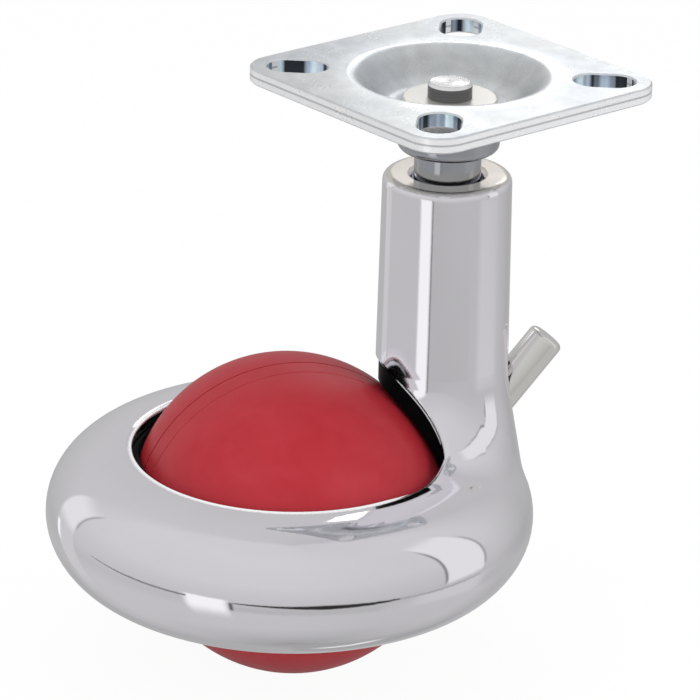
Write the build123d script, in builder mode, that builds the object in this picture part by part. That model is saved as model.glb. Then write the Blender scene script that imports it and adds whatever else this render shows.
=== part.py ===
"""Ball castor with a swivel plate, a one piece cast housing, a ball wheel and a lever brake.

Units are millimetres. Z points up and the origin is the centre of the plate's top face, on the swivel axis.
Everything below the swivel bearing is drawn with the wheel on the minus X side and turned at the end.
"""
import math
import os

from build123d import *

os.makedirs("parts", exist_ok=True)

# Clearances
ball_gap = 0.65
lip_gap = 0.6
axle_gap = 0.05
side_gap = 0.03
guide_gap = 0.3
seat_gap = 0.2
swivel_gap = 0.05
edge_match = 0.05
pad_gap = 0.1

# Wheel and swivel layout
wheel_radius = 25.0
band_width = 4.4
lip_radius = wheel_radius + lip_gap
stem_inset = 0.9
trail = lip_radius - stem_inset
wheel_drop = 72.4
rest_swivel = 20.0
half_band = band_width / 2
ball_reach = wheel_radius + ball_gap
axle_axis = Axis((-trail, 0, -wheel_drop), (0, 1, 0))
ring_axis = Axis((-trail, 0, 0), (0, 0, 1))

# Plate
plate_side = 47.5
plate_corner = 5.5
plate_edge = 0.25
sheet = 2.5
slot_length = 9.6
slot_width = 6.5
slot_margin = 2.6
corner_reach = (plate_side / 2 - plate_corner) * math.sqrt(2) + plate_corner
slot_centre = corner_reach - slot_margin - slot_length / 2
dish_top_radius = 15.2
dish_floor_radius = 9.6
washer_radius = 7.45
washer_sheet = 1.2
washer_top = -3.85
dish_floor = washer_top - washer_sheet
dish_under = dish_floor - sheet
dish_rim_run = 3.5

# Swivel pin and its bearing
pin_radius = 3.5
pin_top = -1.4
pin_bottom = -43.5
shoulder_radius = 4.4
shoulder_height = 0.85
clip_groove_radius = 2.8
clip_sheet = 0.8
cup_radius = 8.05
cup_wall = 0.85
cup_bottom = -12.4
cup_floor = 0.8
race_sheet = 0.6
race_outer = 7.1
race_inner = 4.7
ball_radius = 1.05
ball_count = 11
ball_circle = 5.9
race_play = 0.01
flange_top = dish_under - race_sheet - 2 * ball_radius - 2 * race_play
flange_radius = 7.0
flange_bottom = flange_top - 1.1
neck_radius = 5.3
spigot_radius = 4.6
spigot_length = 5.0

# Stem
stem_top = -16.4
stem_top_radius = 10.2
stem_foot_radius = 10.65
stem_foot = -51.0
stem_flare = 40.0
stem_edge = 1.3
counterbore_radius = 5.7
counterbore_edge = 0.6
counterbore_floor = -19.0
bush_top = -34.0
bush_bottom = -40.0
bush_flange_radius = 5.7
bush_flange = 1.0
well_radius = 6.0
well_bottom = -50.0

# Liner's walls, which the ring follows
liner_wall = 2.75
hood_wall = 2.85
liner_radius = ball_reach + liner_wall
hood_radius = ball_reach + hood_wall
cavity_radius = hood_radius + seat_gap

# Ring
crown_radius = lip_radius + 2.0
ring_reach = 11.5
ring_half_height = 10.9
ring_lift = 0.7
ring_wall = 2.0
ring_end_angle = -62.0
stem_spread = crown_radius + ring_reach - trail
stem_blend = 12.0
rim_edge = 0.9

# Liner
liner_top = 9.4
liner_bottom = -9.4
liner_edge = 1.6
liner_flange = 2.2
liner_flange_radius = liner_radius + 2.1
boss_radius = 1.7
boss_circle = liner_radius + 0.6
boss_angles = (-20.0, 20.0, 160.0, 200.0)
screw_radius = 1.0
screw_head_radius = 1.6
screw_head = 1.2
screw_slot = 0.5
screw_length = 9.0
hood_reach = lip_radius - seat_gap
hood_side = stem_top_radius - 0.1
seat_block_width = 11.0
seat_block_roof = 2.2

# Axle and wheel
axle_radius = 2.5
axle_edge = 0.4
tread = 3.4
pole_cut = 0.4
pole_flat = wheel_radius + half_band - pole_cut
hub_radius = 6.0
hub_depth = 2.6
hub_half = pole_flat - hub_depth
hub_bore = 3.5
hub_hold = 3.0
dome_wall = 2.5
dome_boss = 1.4
rim_radius = wheel_radius - tread
rim_wall = 1.6
rim_half = 4.6
web_half = 1.2
web_hole = 3.6
web_holes = 6
bush_length = 8.0
bush_flange_reach = 4.6
bush_sheet = 0.4
thrust_sheet = 0.27
seat_depth = 2.07
bush_flange_face = pole_flat + bush_sheet
washer_face = bush_flange_face + side_gap + thrust_sheet
seat_face = washer_face + side_gap
seat_reach = seat_face + seat_depth
seat_block_reach = seat_reach + 0.8
axle_half = seat_reach - 0.1
seam = 0.15
band_edge = 0.2

# Brake
lever_angle = 51.0
lever_press = 30.0
lever_radius = 3.0
lever_tip_x = 17.7
lever_tip_z = -45.4
lever_arm = 18.0
lever_edge = 0.9
lever_play = 0.45
pivot_x = lever_tip_x - lever_arm * math.cos(math.radians(lever_angle))
pivot_z = lever_tip_z - lever_arm * math.sin(math.radians(lever_angle))
pivot_radius = 1.5
pivot_near = -5.5
pivot_far = 7.2
nose_half_width = 2.8
nose_half_height = 1.9
nose_lead = 14.0
pad_thickness = 2.0
pad_face = wheel_radius + pad_gap
ball_angle = math.degrees(math.atan2(pivot_z + wheel_drop, pivot_x + trail))
ball_distance = math.hypot(pivot_z + wheel_drop, pivot_x + trail)
nose_pressed = ball_angle + 180 + nose_lead
nose_across = ball_distance * math.sin(math.radians(nose_lead))
nose_reach = ball_distance * math.cos(math.radians(nose_lead)) - math.sqrt(pad_face**2 - nose_across**2)
nose_length = nose_reach - pad_thickness
pad_corner = nose_reach + nose_half_height / 2
pocket_half_width = nose_half_width + 2 * guide_gap
pocket_radius = lever_radius + 1.0
pocket_length = lever_arm + lever_radius

# Planes: one along the trail through the wheel's centre, one flat at the axle's height
trail_plane = Plane(origin=(-trail, 0, -wheel_drop), x_dir=(1, 0, 0), z_dir=(0, -1, 0))
axle_plane = Plane(origin=(-trail, 0, -wheel_drop), x_dir=(1, 0, 0), z_dir=(0, 0, 1))
pivot_plane = Plane(origin=(pivot_x, 0, pivot_z), x_dir=(1, 0, 0), z_dir=(0, -1, 0))
pivot_axis = Axis((pivot_x, 0, pivot_z), (0, -1, 0))


def save(part, name, turned=False):
    """Label a finished body, turn it to the rest swivel if it swivels, and write it."""
    placed = part.rotate(Axis.Z, rest_swivel) if turned else part
    placed.label = name
    export_step(placed, f"parts/{name}.step")


# Mounting plate: pressed sheet with radial slots and a round dish
with BuildPart() as mounting_plate:
    with BuildSketch():
        RectangleRounded(plate_side, plate_side, plate_corner, rotation=45)
        Circle(dish_top_radius + sheet, mode=Mode.SUBTRACT)
    extrude(amount=-sheet)
    wall_run = dish_top_radius - dish_floor_radius
    wall_length = math.hypot(wall_run, -dish_floor)
    under_shift = (wall_length - wall_run) * sheet / -dish_floor
    with BuildSketch(Plane.XZ) as dish:
        with BuildLine():
            Polyline(
                (dish_top_radius + dish_rim_run, 0),
                (dish_top_radius, 0),
                (dish_floor_radius, dish_floor),
                (pin_radius, dish_floor),
                (pin_radius, dish_under),
                (dish_floor_radius + under_shift, dish_under),
                (dish_top_radius + under_shift, -sheet),
                (dish_top_radius + dish_rim_run, -sheet),
                close=True,
            )
        make_face()
        bends = dish.vertices().filter_by_position(Axis.X, dish_floor_radius - 0.1, dish_top_radius + under_shift + 0.1)
        fillet(bends, sheet)
    revolve(axis=Axis.Z)
    with BuildSketch():
        with PolarLocations(slot_centre, 4):
            SlotOverall(slot_length, slot_width)
    extrude(amount=-2 * sheet, mode=Mode.SUBTRACT)
    rims = mounting_plate.edges().filter_by_position(Axis.Z, -sheet, 0).filter_by(GeomType.CIRCLE, reverse=True)
    outer = [e for e in rims if math.hypot(e.center().X, e.center().Y) > plate_side / 2 - 1]
    chamfer(outer, plate_edge)

# Washer under the pin's riveted end
with BuildPart() as pin_washer:
    with BuildSketch(Plane.XY.offset(dish_floor)):
        Circle(washer_radius)
        Circle(pin_radius, mode=Mode.SUBTRACT)
    extrude(amount=washer_sheet)
    fillet(pin_washer.edges().filter_by(GeomType.CIRCLE).group_by(Axis.Z)[-1].sort_by(SortBy.RADIUS)[-1], 0.3)

# Swivel pin: shoulder below the plate, clip groove near the lower end
clip_top = bush_bottom - bush_flange - 0.25
with BuildPart() as swivel_pin:
    with BuildSketch(Plane.XZ):
        with BuildLine():
            Polyline(
                (0, pin_top),
                (pin_radius - 0.4, pin_top),
                (pin_radius, pin_top - 0.4),
                (pin_radius, dish_under),
                (shoulder_radius, dish_under),
                (shoulder_radius, dish_under - shoulder_height),
                (pin_radius, dish_under - shoulder_height),
                (pin_radius, clip_top),
                (clip_groove_radius, clip_top),
                (clip_groove_radius, clip_top - clip_sheet),
                (pin_radius, clip_top - clip_sheet),
                (pin_radius, pin_bottom + 0.6),
                (pin_radius - 0.6, pin_bottom),
                (0, pin_bottom),
                close=True,
            )
        make_face()
    revolve(axis=Axis.Z)

# Snap ring in the pin's groove
with BuildPart() as pin_clip:
    with BuildSketch(Plane.XY.offset(clip_top)):
        Circle(bush_flange_radius - 0.5)
        Circle(clip_groove_radius, mode=Mode.SUBTRACT)
        with Locations((0, -bush_flange_radius / 2)):
            Rectangle(2 * clip_groove_radius - 1.6, bush_flange_radius, mode=Mode.SUBTRACT)
    extrude(amount=-clip_sheet)

# Hardened ring that the balls roll against, under the plate
with BuildPart() as upper_race:
    with BuildSketch(Plane.XY.offset(dish_under)):
        Circle(race_outer)
        Circle(race_inner, mode=Mode.SUBTRACT)
    extrude(amount=-race_sheet)

# Cup that closes the bearing from the side and below
with BuildPart() as bearing_cup:
    with BuildSketch(Plane.XY.offset(dish_under)):
        Circle(cup_radius)
    extrude(amount=cup_bottom - dish_under)
    fillet(bearing_cup.edges().group_by(Axis.Z)[0], 1.3)
    with BuildSketch(Plane.XY.offset(dish_under)):
        Circle(cup_radius - cup_wall)
    extrude(amount=cup_bottom - dish_under + cup_floor, mode=Mode.SUBTRACT)
    with BuildSketch(Plane.XY.offset(cup_bottom)):
        Circle(neck_radius + guide_gap)
    extrude(amount=cup_floor, mode=Mode.SUBTRACT)

# Ring of bearing balls
with BuildPart() as bearing_balls:
    with Locations((0, 0, dish_under - race_sheet - race_play - ball_radius)):
        with PolarLocations(ball_circle, ball_count):
            Sphere(ball_radius)

# Flanged collar pressed into the stem, the lower side of the ball bearing
with BuildPart() as swivel_collar:
    with BuildSketch(Plane.XZ):
        with BuildLine():
            Polyline(
                (pin_radius + swivel_gap, flange_top),
                (flange_radius, flange_top),
                (flange_radius, flange_bottom),
                (neck_radius, flange_bottom),
                (neck_radius, counterbore_floor),
                (spigot_radius, counterbore_floor),
                (spigot_radius, counterbore_floor - spigot_length),
                (pin_radius + swivel_gap, counterbore_floor - spigot_length),
                close=True,
            )
        make_face()
    revolve(axis=Axis.Z)
    fillet(swivel_collar.edges().filter_by(GeomType.CIRCLE).sort_by(SortBy.RADIUS)[-2:], 0.3)

# Flanged bush at the pin's lower end
with BuildPart() as lower_bush:
    with BuildSketch(Plane.XZ):
        with BuildLine():
            Polyline(
                (pin_radius + swivel_gap, bush_top),
                (spigot_radius, bush_top),
                (spigot_radius, bush_bottom),
                (bush_flange_radius, bush_bottom),
                (bush_flange_radius, bush_bottom - bush_flange),
                (pin_radius + swivel_gap, bush_bottom - bush_flange),
                close=True,
            )
        make_face()
    revolve(axis=Axis.Z)


def boss_place(angle):
    """Where a screw boss stands, seen from above."""
    return (
        boss_circle * math.cos(math.radians(angle)) - trail,
        boss_circle * math.sin(math.radians(angle)),
    )


def brake_room():
    """Sketch the room round the brake: the pivot, the lever's sweep and the nose's sweep."""
    Circle(pocket_radius)
    for share in (0.0, 0.5, 1.0):
        with Locations(Location((0, 0, 0), (0, 0, lever_angle - share * lever_press))):
            with Locations((pocket_length / 2, 0)):
                Rectangle(pocket_length, 2 * (lever_radius + lever_play))
    room = pad_corner + guide_gap
    for share in (0.0, 0.25, 0.5, 0.75, 1.0):
        with Locations(Location((0, 0, 0), (0, 0, nose_pressed + share * lever_press))):
            with Locations((room / 2, 0)):
                Rectangle(room, 2 * (nose_half_height + guide_gap))


def on_opening(point):
    """Whether a point lies on the edge of the opening for the ball, above the ring."""
    away = point - Vector(-trail, 0, -wheel_drop)
    off_lip = abs(math.hypot(away.X, away.Y) - lip_radius)
    off_dome = abs(away.length - cavity_radius)
    return away.Z > ring_top - edge_match and min(off_lip, off_dome) < edge_match


def ring_point(angle, inset=0.0):
    """A point of the ring's section, inset by the wall where asked."""
    across = crown_radius + (ring_reach - inset) * math.cos(math.radians(angle))
    return across, ring_lift + (ring_half_height - inset) * math.sin(math.radians(angle))


ring_top = ring_lift + ring_half_height
rim_x, rim_z = ring_point(ring_end_angle)
inner_x, inner_z = ring_point(ring_end_angle, ring_wall)
cavity_break = math.sqrt(cavity_radius**2 - lip_radius**2)

# Housing: the ring and the stem are one casting
with BuildPart() as housing:
    with BuildSketch(trail_plane):
        with BuildLine():
            rim_arc = EllipticalCenterArc(
                (crown_radius, ring_lift), ring_reach, ring_half_height, ring_end_angle, arc_size=90 - ring_end_angle
            )
            Polyline(rim_arc @ 1, (0, ring_top), (0, rim_z), rim_arc @ 0)
        make_face()
    revolve(axis=ring_axis)
    with BuildSketch(Plane.XZ) as stem_section:
        with BuildLine():
            Polyline(
                (0, stem_top),
                (stem_top_radius, stem_top),
                (stem_foot_radius, stem_foot),
                (stem_spread, ring_lift - wheel_drop),
                (0, ring_lift - wheel_drop),
                close=True,
            )
        make_face()
        fillet(stem_section.vertices().sort_by_distance((stem_foot_radius, stem_foot))[0], stem_flare)
    revolve(axis=Axis.Z)
    # Blend the stem's foot into the ring
    joint = housing.edges().filter_by_position(Axis.Z, ring_lift - wheel_drop, ring_top - wheel_drop + 0.5)
    foot = [e for e in joint if max(math.hypot(p.X, p.Y) for p in (e @ 0, e @ 0.5, e @ 1)) < stem_spread]
    fillet(foot, stem_blend)
    fillet(housing.edges().group_by(Axis.Z)[-1], stem_edge)
    # Hollow of the ring, open downwards
    with BuildSketch(trail_plane):
        with BuildLine():
            hollow_arc = EllipticalCenterArc(
                (crown_radius, ring_lift),
                ring_reach - ring_wall,
                ring_half_height - ring_wall,
                ring_end_angle,
                arc_size=90 - ring_end_angle,
            )
            Polyline(
                hollow_arc @ 1,
                (lip_radius, ring_top - ring_wall),
                (lip_radius, rim_z - 1),
                (inner_x, rim_z - 1),
                hollow_arc @ 0,
            )
        make_face()
    revolve(axis=ring_axis, mode=Mode.SUBTRACT)
    # Room for the ball: straight through the ring, domed under the stem
    with BuildSketch(trail_plane):
        with BuildLine():
            Line((0, rim_z - 1), (lip_radius, rim_z - 1))
            Line((lip_radius, rim_z - 1), (lip_radius, cavity_break))
            RadiusArc((lip_radius, cavity_break), (0, cavity_radius), -cavity_radius)
            Line((0, cavity_radius), (0, rim_z - 1))
        make_face()
    revolve(axis=ring_axis, mode=Mode.SUBTRACT)
    arch = [e for e in housing.edges().filter_by(GeomType.BSPLINE) if on_opening(e @ 0) and on_opening(e @ 1)]
    fillet(arch, rim_edge)
    # Bore of the stem: counterbore, bush bore and a wider well for the clip
    with BuildSketch(Plane.XZ):
        with BuildLine():
            Polyline(
                (0, stem_top),
                (counterbore_radius + counterbore_edge, stem_top),
                (counterbore_radius, stem_top - counterbore_edge),
                (counterbore_radius, counterbore_floor),
                (spigot_radius, counterbore_floor),
                (spigot_radius, bush_bottom),
                (well_radius, bush_bottom),
                (well_radius, well_bottom),
                (0, well_bottom),
                close=True,
            )
        make_face()
    revolve(axis=Axis.Z, mode=Mode.SUBTRACT)
    # Bosses for the liner's screws
    with BuildSketch(Plane.XY.offset(liner_bottom + liner_flange - wheel_drop)):
        for angle in boss_angles:
            with Locations(boss_place(angle)):
                Circle(boss_radius)
                Circle(screw_radius, mode=Mode.SUBTRACT)
    extrude(amount=ring_top - ring_wall - liner_bottom - liner_flange)
    # Pocket for the brake
    with BuildSketch(pivot_plane):
        brake_room()
    extrude(amount=pocket_half_width, both=True, mode=Mode.SUBTRACT)
    # Blind hole for the lever's pin
    with BuildSketch(pivot_plane.offset(-stem_foot_radius)):
        Circle(pivot_radius)
    extrude(amount=stem_foot_radius - pivot_near, mode=Mode.SUBTRACT)

# Liner: plastic frame inside the ring, with a hood under the stem and seats for the axle
with BuildPart() as liner:
    with BuildSketch(Plane.XY.offset(liner_bottom - wheel_drop)):
        with Locations((-trail, 0)):
            Circle(liner_radius)
    extrude(amount=liner_top - liner_bottom)
    chamfer(liner.edges().group_by(Axis.Z)[-1], liner_edge)
    with BuildSketch(Plane.XY.offset(liner_bottom - wheel_drop)):
        with Locations((-trail, 0)):
            Circle(liner_flange_radius)
    extrude(amount=liner_flange)
    # Blocks that hold the axle's ends
    with BuildSketch(Plane.XY.offset(liner_bottom - wheel_drop)):
        with Locations((-trail, 0)):
            Rectangle(seat_block_width, 2 * seat_block_reach)
    extrude(amount=-liner_bottom + axle_radius + seat_block_roof)
    # Hood under the stem
    with BuildSketch(trail_plane):
        with BuildLine():
            hood_break = math.sqrt(hood_radius**2 - hood_reach**2)
            Line((0, 0), (hood_reach, 0))
            Line((hood_reach, 0), (hood_reach, hood_break))
            RadiusArc((hood_reach, hood_break), (0, hood_radius), -hood_radius)
            Line((0, hood_radius), (0, 0))
        make_face()
    hood_cap = revolve(axis=ring_axis, mode=Mode.PRIVATE)
    with BuildSketch(Plane.XY.offset(-wheel_drop)):
        Circle(hood_side)
    stem_core = extrude(amount=hood_radius + 1, mode=Mode.PRIVATE)
    add(hood_cap & stem_core)
    # Room for the ball wheel: domed above, straight below so that it goes in from the underside
    with BuildSketch(axle_plane):
        with BuildLine():
            Line((0, -ball_reach - half_band), (0, ball_reach + half_band))
            RadiusArc((0, ball_reach + half_band), (ball_reach, half_band), ball_reach)
            Line((ball_reach, half_band), (ball_reach, -half_band))
            RadiusArc((ball_reach, -half_band), (0, -ball_reach - half_band), ball_reach)
        make_face()
    revolve(axis=axle_axis, mode=Mode.SUBTRACT)
    with BuildSketch(Plane.XY.offset(liner_bottom - wheel_drop)):
        with Locations((-trail, 0)):
            SlotOverall(2 * (ball_reach + half_band), 2 * ball_reach, rotation=90)
    extrude(amount=-liner_bottom, mode=Mode.SUBTRACT)
    # Downward open room for the bushes' flanges, then the axle's seats
    with BuildSketch(trail_plane.offset(-seat_face)):
        Circle(bush_flange_reach + guide_gap)
        with Locations((0, liner_bottom / 2)):
            Rectangle(2 * (bush_flange_reach + guide_gap), -liner_bottom)
    extrude(amount=2 * seat_face, mode=Mode.SUBTRACT)
    with BuildSketch(trail_plane.offset(-seat_reach)):
        Circle(axle_radius)
        with Locations((0, liner_bottom / 2)):
            Rectangle(2 * axle_radius, -liner_bottom)
    extrude(amount=2 * seat_reach, mode=Mode.SUBTRACT)
    # Screw holes with room for the bosses and the heads
    for angle in boss_angles:
        with BuildSketch(Plane.XY.offset(liner_bottom + liner_flange - wheel_drop)):
            with Locations(boss_place(angle)):
                Circle(boss_radius + seat_gap)
        extrude(amount=liner_top - liner_bottom, mode=Mode.SUBTRACT)
        with BuildSketch(Plane.XY.offset(liner_bottom - wheel_drop)):
            with Locations(boss_place(angle)):
                Circle(screw_radius)
        extrude(amount=liner_flange, mode=Mode.SUBTRACT)
        with BuildSketch(Plane.XY.offset(liner_bottom - wheel_drop)):
            with Locations(boss_place(angle)):
                Circle(screw_head_radius)
        extrude(amount=screw_head, mode=Mode.SUBTRACT)
    # Window for the brake
    with BuildSketch(pivot_plane):
        brake_room()
    extrude(amount=nose_half_width + guide_gap, both=True, mode=Mode.SUBTRACT)

# Screws that hold the liner from below
with BuildPart() as liner_screws:
    for angle in boss_angles:
        with BuildSketch(Plane.XY.offset(liner_bottom - wheel_drop + screw_head / 2)):
            with Locations(boss_place(angle)):
                Circle(screw_radius)
        extrude(amount=screw_length - screw_head / 2)
        with BuildSketch(Plane.XY.offset(liner_bottom - wheel_drop)):
            with Locations(boss_place(angle)):
                Circle(screw_head_radius)
                Rectangle(2 * screw_head_radius, screw_slot, mode=Mode.SUBTRACT)
        extrude(amount=screw_head / 2)
        with BuildSketch(Plane.XY.offset(liner_bottom - wheel_drop + screw_head / 2)):
            with Locations(boss_place(angle)):
                Circle(screw_head_radius)
        extrude(amount=screw_head / 2)

# Axle
with BuildPart() as axle:
    with BuildSketch(trail_plane.offset(-axle_half)):
        Circle(axle_radius)
    extrude(amount=2 * axle_half)
    chamfer(axle.edges().filter_by(GeomType.CIRCLE), axle_edge)

# Wedges that close the axle's seats from below
with BuildPart() as axle_keepers:
    for side in (-1, 1):
        with BuildSketch(trail_plane.offset(side * seat_face)):
            with Locations((0, (liner_bottom - axle_radius) / 2)):
                Rectangle(2 * axle_radius, -liner_bottom - axle_radius)
        extrude(amount=side * (seat_reach - seat_face))

# Wheel core: hub, web and rim
with BuildPart() as wheel_core:
    with BuildSketch(axle_plane):
        with BuildLine():
            Polyline(
                (hub_bore, -hub_half),
                (hub_radius, -hub_half),
                (hub_radius, -web_half),
                (rim_radius - rim_wall, -web_half),
                (rim_radius - rim_wall, -rim_half),
                (rim_radius, -rim_half),
                (rim_radius, rim_half),
                (rim_radius - rim_wall, rim_half),
                (rim_radius - rim_wall, web_half),
                (hub_radius, web_half),
                (hub_radius, hub_half),
                (hub_bore, hub_half),
                close=True,
            )
        make_face()
    revolve(axis=axle_axis)
    with BuildSketch(trail_plane.offset(-web_half)):
        with PolarLocations((hub_radius + rim_radius - rim_wall) / 2, web_holes):
            Circle(web_hole)
    extrude(amount=2 * web_half, mode=Mode.SUBTRACT)

# Middle band of the ball
with BuildPart() as tread_band:
    with BuildSketch(axle_plane) as band_section:
        with Locations(((rim_radius + wheel_radius) / 2, 0)):
            Rectangle(wheel_radius - rim_radius, band_width - 2 * seam)
        chamfer(band_section.vertices().group_by(Axis.X)[-1], band_edge)
    revolve(axis=axle_axis)

# The two domes of the ball
domes = []
for side in (-1, 1):
    inner_radius = wheel_radius - dome_wall
    step_radius = math.sqrt(inner_radius**2 - (rim_half - half_band) ** 2)
    pole_radius = math.sqrt(wheel_radius**2 - (pole_flat - half_band) ** 2)
    boss_step = hub_radius + dome_boss
    boss_bore = hub_radius + seat_gap
    boss_foot = hub_half - hub_hold
    boss_height = half_band + math.sqrt(inner_radius**2 - boss_step**2)
    with BuildPart() as dome:
        with BuildSketch(axle_plane):
            with BuildLine():
                Line((rim_radius, half_band * side), (wheel_radius, half_band * side))
                RadiusArc(
                    (wheel_radius, half_band * side), (pole_radius, pole_flat * side), -wheel_radius * side
                )
                Line((pole_radius, pole_flat * side), (hub_bore, pole_flat * side))
                Line((hub_bore, pole_flat * side), (hub_bore, hub_half * side))
                Line((hub_bore, hub_half * side), (boss_bore, hub_half * side))
                Line((boss_bore, hub_half * side), (boss_bore, boss_foot * side))
                Line((boss_bore, boss_foot * side), (boss_step, boss_foot * side))
                Line((boss_step, boss_foot * side), (boss_step, boss_height * side))
                RadiusArc((boss_step, boss_height * side), (step_radius, rim_half * side), inner_radius * side)
                Line((step_radius, rim_half * side), (rim_radius, rim_half * side))
                Line((rim_radius, rim_half * side), (rim_radius, half_band * side))
            make_face()
        revolve(axis=axle_axis)
    domes.append(dome)
near_dome, far_dome = domes

# Flanged bushes in the hub's ends
with BuildPart() as hub_bushes:
    for side in (-1, 1):
        with BuildSketch(axle_plane):
            with BuildLine():
                Polyline(
                    (axle_radius + axle_gap, side * (bush_flange_face - bush_length)),
                    (hub_bore, side * (bush_flange_face - bush_length)),
                    (hub_bore, side * pole_flat),
                    (bush_flange_reach, side * pole_flat),
                    (bush_flange_reach, side * bush_flange_face),
                    (axle_radius + axle_gap, side * bush_flange_face),
                    close=True,
                )
            make_face()
        revolve(axis=axle_axis)

# Thin washers between the ball and the axle's seats
with BuildPart() as thrust_washers:
    for side in (-1, 1):
        with BuildSketch(trail_plane.offset(side * washer_face)):
            Circle(bush_flange_reach)
            Circle(axle_radius + axle_gap, mode=Mode.SUBTRACT)
        extrude(amount=-side * thrust_sheet)

# Brake lever: round rod, a flat nose past its pivot and the pivot's hole
with BuildPart() as brake_lever:
    rod_plane = Plane(
        origin=(pivot_x, 0, pivot_z),
        x_dir=(math.cos(math.radians(lever_angle)), 0, math.sin(math.radians(lever_angle))),
        z_dir=(0, -1, 0),
    )
    with BuildSketch(rod_plane):
        with BuildLine():
            Line((-lever_radius, 0), (lever_arm, 0))
            Line((lever_arm, 0), (lever_arm, lever_radius - lever_edge))
            RadiusArc((lever_arm, lever_radius - lever_edge), (lever_arm - lever_edge, lever_radius), -lever_edge)
            Line((lever_arm - lever_edge, lever_radius), (0, lever_radius))
            RadiusArc((0, lever_radius), (-lever_radius, 0), -lever_radius)
        make_face()
    revolve(axis=Axis(rod_plane.origin, rod_plane.x_dir))
    with BuildSketch(pivot_plane.offset(-nose_half_width)):
        with Locations(Location((0, 0, 0), (0, 0, nose_pressed + lever_press))):
            with Locations((nose_length / 2, 0)):
                Rectangle(nose_length, 2 * nose_half_height)
    extrude(amount=2 * nose_half_width)
    with BuildSketch(pivot_plane.offset(-lever_radius)):
        Circle(pivot_radius + axle_gap)
    extrude(amount=2 * lever_radius, mode=Mode.SUBTRACT)

# Pin the lever turns on
with BuildPart() as lever_pin:
    with BuildSketch(pivot_plane.offset(-pivot_far)):
        Circle(pivot_radius)
    extrude(amount=pivot_far - pivot_near)

# Rubber pad on the nose, shaped to the ball where the lever is pressed and then let up
with BuildPart() as pressed_pad:
    with BuildSketch(pivot_plane.offset(-nose_half_width)):
        with Locations(Location((0, 0, 0), (0, 0, nose_pressed))):
            with Locations((nose_length + pad_thickness, 0)):
                Rectangle(2 * pad_thickness, 2 * nose_half_height)
    extrude(amount=2 * nose_half_width)
    with BuildSketch(axle_plane):
        with BuildLine():
            Line((0, -pad_face - half_band), (0, pad_face + half_band))
            RadiusArc((0, pad_face + half_band), (pad_face, half_band), pad_face)
            Line((pad_face, half_band), (pad_face, -half_band))
            RadiusArc((pad_face, -half_band), (0, -pad_face - half_band), pad_face)
        make_face()
    revolve(axis=axle_axis, mode=Mode.SUBTRACT)
brake_pad = pressed_pad.part.rotate(pivot_axis, lever_press)

save(mounting_plate.part, "mounting_plate")
save(pin_washer.part, "pin_washer")
save(swivel_pin.part, "swivel_pin")
save(pin_clip.part, "pin_clip")
save(upper_race.part, "upper_race")
save(bearing_cup.part, "bearing_cup")
save(bearing_balls.part, "bearing_balls")
save(swivel_collar.part, "swivel_collar", True)
save(lower_bush.part, "lower_bush", True)
save(housing.part, "housing", True)
save(liner.part, "liner", True)
save(liner_screws.part, "liner_screws", True)
save(axle.part, "axle", True)
save(axle_keepers.part, "axle_keepers", True)
save(lever_pin.part, "lever_pin", True)
save(wheel_core.part, "wheel_core", True)
save(tread_band.part, "tread_band", True)
save(near_dome.part, "near_dome", True)
save(far_dome.part, "far_dome", True)
save(hub_bushes.part, "hub_bushes", True)
save(thrust_washers.part, "thrust_washers", True)
save(brake_lever.part, "brake_lever", True)
save(brake_pad, "brake_pad", True)
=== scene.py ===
import bpy
import math
from mathutils import Matrix, Vector


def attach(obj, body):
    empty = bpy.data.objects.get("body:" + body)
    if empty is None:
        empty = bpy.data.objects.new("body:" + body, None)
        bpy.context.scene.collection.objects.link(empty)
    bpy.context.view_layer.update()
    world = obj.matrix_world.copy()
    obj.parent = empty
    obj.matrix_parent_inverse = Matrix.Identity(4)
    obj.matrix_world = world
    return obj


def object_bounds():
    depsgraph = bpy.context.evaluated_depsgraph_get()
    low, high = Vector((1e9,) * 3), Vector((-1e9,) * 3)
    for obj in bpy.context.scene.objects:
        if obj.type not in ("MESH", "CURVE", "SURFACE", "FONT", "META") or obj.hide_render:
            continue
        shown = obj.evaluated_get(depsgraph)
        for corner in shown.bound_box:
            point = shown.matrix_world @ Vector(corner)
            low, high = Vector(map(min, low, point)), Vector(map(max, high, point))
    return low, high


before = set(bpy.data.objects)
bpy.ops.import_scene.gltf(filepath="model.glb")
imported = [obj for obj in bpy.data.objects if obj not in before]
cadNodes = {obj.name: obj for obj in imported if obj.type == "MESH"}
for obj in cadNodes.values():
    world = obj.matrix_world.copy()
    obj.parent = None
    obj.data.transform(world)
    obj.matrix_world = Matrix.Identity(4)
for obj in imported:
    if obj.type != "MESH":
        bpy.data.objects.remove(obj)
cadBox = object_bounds()
print("frame loaded:", len(cadNodes), "nodes")

# Places that several pieces share, in metres
swivelTurn = math.radians(20.0)  # rest angle of everything below the bearing
trail = 0.0247  # from the swivel axis to the ball's centre
wheelDrop = 0.0724  # from the plate's top face to the ball's centre
wheelCentre = Vector((-trail * math.cos(swivelTurn), -trail * math.sin(swivelTurn), -wheelDrop))


# Camera at the photo's angle
cameraSettings = {
    "aside": 0.00915,  # metres right of the ball, in the camera's own heading
    "distance": 0.56877,
    "height": 0.26132,
    "heading": 4.9,
    "pitch": 22.285,
    "roll": 1.214,
    "lens": 200.1,
    "sensor": 36,
    "near": 0.01,
    "far": 20,
}


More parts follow.
